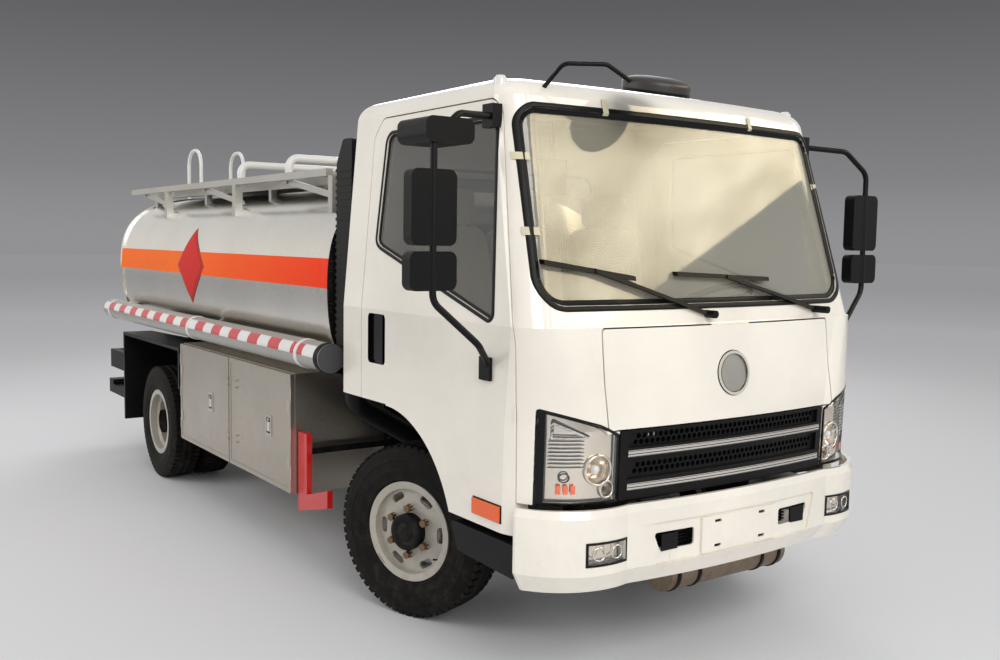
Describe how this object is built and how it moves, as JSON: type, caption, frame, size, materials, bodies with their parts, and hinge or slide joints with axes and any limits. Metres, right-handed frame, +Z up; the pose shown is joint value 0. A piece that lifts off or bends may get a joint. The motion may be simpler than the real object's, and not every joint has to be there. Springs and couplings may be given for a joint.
{
  "type": "tanker truck",
  "caption": "Light forward-control tanker truck with a steel tank, folding guard rails and a side cabinet",
  "frame": {"origin": "middle of the length on the ground, on the centre plane", "axes": "+X to the truck's left, +Y to its rear, +Z up; the front faces -Y"},
  "size_m": [2.71, 5.995, 2.444],
  "materials": {
    "cab_white": "gloss",
    "tank_steel": "satin",
    "cabinet_steel": "satin",
    "rail_steel": "satin",
    "fuel_steel": "satin",
    "rim_silver": "satin",
    "chassis_black": "satin",
    "engine_grey": "rough",
    "exhaust_steel": "rough",
    "hoop_white": "gloss",
    "guard_red": "satin",
    "black_plastic": "matte",
    "dash_grey": "matte",
    "cab_dark": "satin",
    "hose_grey": "matte",
    "seat_fabric": "matte",
    "lamp_clear": "gloss",
    "glass": "gloss",
    "tyre": "matte"
  },
  "bodies": {
    "chassis": {"air_intake": "black_plastic", "battery_box": "chassis_black", "chassis_frame": "chassis_black", "chassis_lamps": "lamp_clear", "engine": "engine_grey", "exhaust": "exhaust_steel", "front_axle": "chassis_black", "front_bumper": "cab_white", "fuel_tank": "fuel_steel", "hose_tubes": "hose_grey", "leaf_springs": "chassis_black", "rear_axle": "chassis_black", "rear_bumper": "chassis_black", "rear_ladder": "rail_steel", "rear_mudguards": "black_plastic", "red_guards": "guard_red", "roll_hoops": "hoop_white", "side_cabinet": "cabinet_steel", "side_steps": "black_plastic", "tank": "tank_steel", "walkway": "rail_steel"},
    "cab": {"cab_shell": "cab_white", "cab_roof": "cab_white", "cab_floor": "cab_dark", "cab_glass": "glass", "dashboard": "dash_grey", "seats": "seat_fabric", "headlamps": "lamp_clear", "grille": "black_plastic", "cab_fittings": "black_plastic"},
    "door_right": {"door_right": "cab_white", "door_glass_right": "glass", "mirrors_right": "black_plastic"},
    "door_left": {"door_left": "cab_white", "door_glass_left": "glass", "mirrors_left": "black_plastic"},
    "front_panel": {"front_panel": "cab_white"},
    "steering_wheel": {"steering_wheel": "black_plastic"},
    "knuckle_right": {"knuckle_right": "chassis_black"},
    "knuckle_left": {"knuckle_left": "chassis_black"},
    "tie_rod": {"tie_rod": "chassis_black"},
    "front_wheel_right": {"wheel_front_right": "rim_silver", "tyre_front_right": "tyre"},
    "front_wheel_left": {"wheel_front_left": "rim_silver", "tyre_front_left": "tyre"},
    "rear_wheels_right": {"wheels_rear_right": "rim_silver", "tyres_rear_right": "tyre"},
    "rear_wheels_left": {"wheels_rear_left": "rim_silver", "tyres_rear_left": "tyre"},
    "guard_link_right_front": {"guard_link_right_front": "rail_steel"},
    "guard_link_right_middle": {"guard_link_right_middle": "rail_steel"},
    "guard_link_right_rear": {"guard_link_right_rear": "rail_steel"},
    "guard_rail_right": {"guard_rail_right": "rail_steel"},
    "guard_link_left_front": {"guard_link_left_front": "rail_steel"},
    "guard_link_left_middle": {"guard_link_left_middle": "rail_steel"},
    "guard_link_left_rear": {"guard_link_left_rear": "rail_steel"},
    "guard_rail_left": {"guard_rail_left": "rail_steel"},
    "cabinet_door_front": {"cabinet_door_front": "cabinet_steel"},
    "cabinet_door_rear": {"cabinet_door_rear": "cabinet_steel"},
    "manhole_lid": {"manhole_lid": "tank_steel"}
  },
  "joints": [
    {"name": "cab_tilt", "type": "hinge", "parent": "chassis", "child": "cab", "pos_m": [0, -2.6875, 0.84], "axis": [1, 0, 0], "range_deg": [0, 45]},
    {"name": "door_right_swing", "type": "hinge", "parent": "cab", "child": "door_right", "pos_m": [-0.953, -2.72885, 1], "axis": [0, 0, 1], "range_deg": [0, 70]},
    {"name": "door_left_swing", "type": "hinge", "parent": "cab", "child": "door_left", "pos_m": [0.953, -2.72885, 1], "axis": [0, 0, -1], "range_deg": [0, 70]},
    {"name": "front_panel_lift", "type": "hinge", "parent": "cab", "child": "front_panel", "pos_m": [0, -2.90415, 1.40035], "axis": [-1, 0, 0], "range_deg": [0, 75]},
    {"name": "steering_wheel_turn", "type": "hinge", "parent": "cab", "child": "steering_wheel", "pos_m": [0.44, -2.3675, 1.44], "axis": [0, 0.4695, 0.8829], "range_deg": [-1030, 275]},
    {"name": "steer_right", "type": "hinge", "parent": "chassis", "child": "knuckle_right", "pos_m": [-0.739, -1.7575, 0.398], "axis": [0, 0, 1], "range_deg": [-57, 15]},
    {"name": "steer_left", "type": "hinge", "parent": "chassis", "child": "knuckle_left", "pos_m": [0.739, -1.7575, 0.398], "axis": [0, 0, 1], "range_deg": [-57, 15]},
    {"name": "tie_rod_end", "type": "hinge", "parent": "knuckle_right", "child": "tie_rod", "pos_m": [-0.77654, -1.65944, 0.344], "axis": [0, 0, 1], "range_deg": [-16, 58]},
    {"name": "front_wheel_right_spin", "type": "hinge", "parent": "knuckle_right", "child": "front_wheel_right", "pos_m": [-0.739, -1.7575, 0.398], "axis": [0.9339, 0.3576, 0], "continuous": true},
    {"name": "front_wheel_left_spin", "type": "hinge", "parent": "knuckle_left", "child": "front_wheel_left", "pos_m": [0.739, -1.7575, 0.398], "axis": [0.9339, 0.3576, 0], "continuous": true},
    {"name": "rear_wheels_right_spin", "type": "hinge", "parent": "chassis", "child": "rear_wheels_right", "pos_m": [-0.784, 1.5425, 0.398], "axis": [1, 0, 0], "continuous": true},
    {"name": "rear_wheels_left_spin", "type": "hinge", "parent": "chassis", "child": "rear_wheels_left", "pos_m": [0.784, 1.5425, 0.398], "axis": [1, 0, 0], "continuous": true},
    {"name": "cabinet_door_front_swing", "type": "hinge", "parent": "chassis", "child": "cabinet_door_front", "pos_m": [-1.02, -0.8375, 0.7], "axis": [0, 0, 1], "range_deg": [0, 110]},
    {"name": "cabinet_door_rear_swing", "type": "hinge", "parent": "chassis", "child": "cabinet_door_rear", "pos_m": [-1.02, 0.9455, 0.7], "axis": [0, 0, -1], "range_deg": [0, 110]},
    {"name": "manhole_lid_lift", "type": "hinge", "parent": "chassis", "child": "manhole_lid", "pos_m": [0, 0.8465, 2.1353], "axis": [-1, 0, 0], "range_deg": [0, 100]},
    {"name": "guard_link_right_front_swing", "type": "hinge", "parent": "chassis", "child": "guard_link_right_front", "pos_m": [-0.754, -0.8775, 1.938], "axis": [1, 0, 0], "range_deg": [0, 78]},
    {"name": "guard_link_right_middle_swing", "type": "hinge", "parent": "chassis", "child": "guard_link_right_middle", "pos_m": [-0.754, 0.5075, 1.938], "axis": [1, 0, 0], "range_deg": [0, 78]},
    {"name": "guard_link_right_rear_swing", "type": "hinge", "parent": "chassis", "child": "guard_link_right_rear", "pos_m": [-0.754, 1.8925, 1.938], "axis": [1, 0, 0], "range_deg": [0, 78]},
    {"name": "guard_rail_right_level", "type": "hinge", "parent": "guard_link_right_front", "child": "guard_rail_right", "pos_m": [-0.754, -0.1875, 2.05], "axis": [1, 0, 0], "range_deg": [-78, 0]},
    {"name": "guard_link_left_front_swing", "type": "hinge", "parent": "chassis", "child": "guard_link_left_front", "pos_m": [0.754, -0.8775, 1.938], "axis": [1, 0, 0], "range_deg": [0, 78]},
    {"name": "guard_link_left_middle_swing", "type": "hinge", "parent": "chassis", "child": "guard_link_left_middle", "pos_m": [0.754, 0.5075, 1.938], "axis": [1, 0, 0], "range_deg": [0, 78]},
    {"name": "guard_link_left_rear_swing", "type": "hinge", "parent": "chassis", "child": "guard_link_left_rear", "pos_m": [0.754, 1.8925, 1.938], "axis": [1, 0, 0], "range_deg": [0, 78]},
    {"name": "guard_rail_left_level", "type": "hinge", "parent": "guard_link_left_front", "child": "guard_rail_left", "pos_m": [0.754, -0.1875, 2.05], "axis": [1, 0, 0], "range_deg": [-78, 0]}
  ],
  "couplings": [
    {"joint": "steer_left", "follows": "steer_right", "ratio": 1},
    {"joint": "tie_rod_end", "follows": "steer_right", "ratio": -1},
    {"joint": "steering_wheel_turn", "follows": "steer_right", "ratio": 18},
    {"joint": "guard_link_right_middle_swing", "follows": "guard_link_right_front_swing", "ratio": 1},
    {"joint": "guard_link_right_rear_swing", "follows": "guard_link_right_front_swing", "ratio": 1},
    {"joint": "guard_rail_right_level", "follows": "guard_link_right_front_swing", "ratio": -1},
    {"joint": "guard_link_left_middle_swing", "follows": "guard_link_left_front_swing", "ratio": 1},
    {"joint": "guard_link_left_rear_swing", "follows": "guard_link_left_front_swing", "ratio": 1},
    {"joint": "guard_rail_left_level", "follows": "guard_link_left_front_swing", "ratio": -1}
  ]
}
